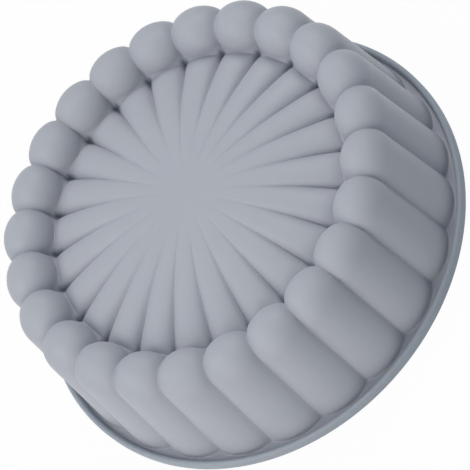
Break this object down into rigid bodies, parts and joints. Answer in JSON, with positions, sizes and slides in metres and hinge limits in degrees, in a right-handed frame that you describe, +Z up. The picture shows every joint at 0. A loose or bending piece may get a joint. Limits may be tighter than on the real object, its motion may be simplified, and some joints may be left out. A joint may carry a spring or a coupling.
{
  "type": "silicone charlotte mould",
  "caption": "Round flexible baking mould with a fluted wall ending in rounded domes, a petalled base, a flat web and a thick beaded rim",
  "frame": {"origin": "centre of the rim's flat underside, at the bottom of the bounding box", "axes": "+Z up through the base, which is uppermost; +X along the ridge of one flute"},
  "size_m": [0.24, 0.24, 0.0742],
  "materials": {
    "silicone": "matte moulded silicone, light blue-grey",
    "steel_wire": "drawn stainless wire"
  },
  "bodies": {
    "root": {"silicone_mould": "silicone", "rim_support_ring": "steel_wire"}
  },
  "joints": []
}
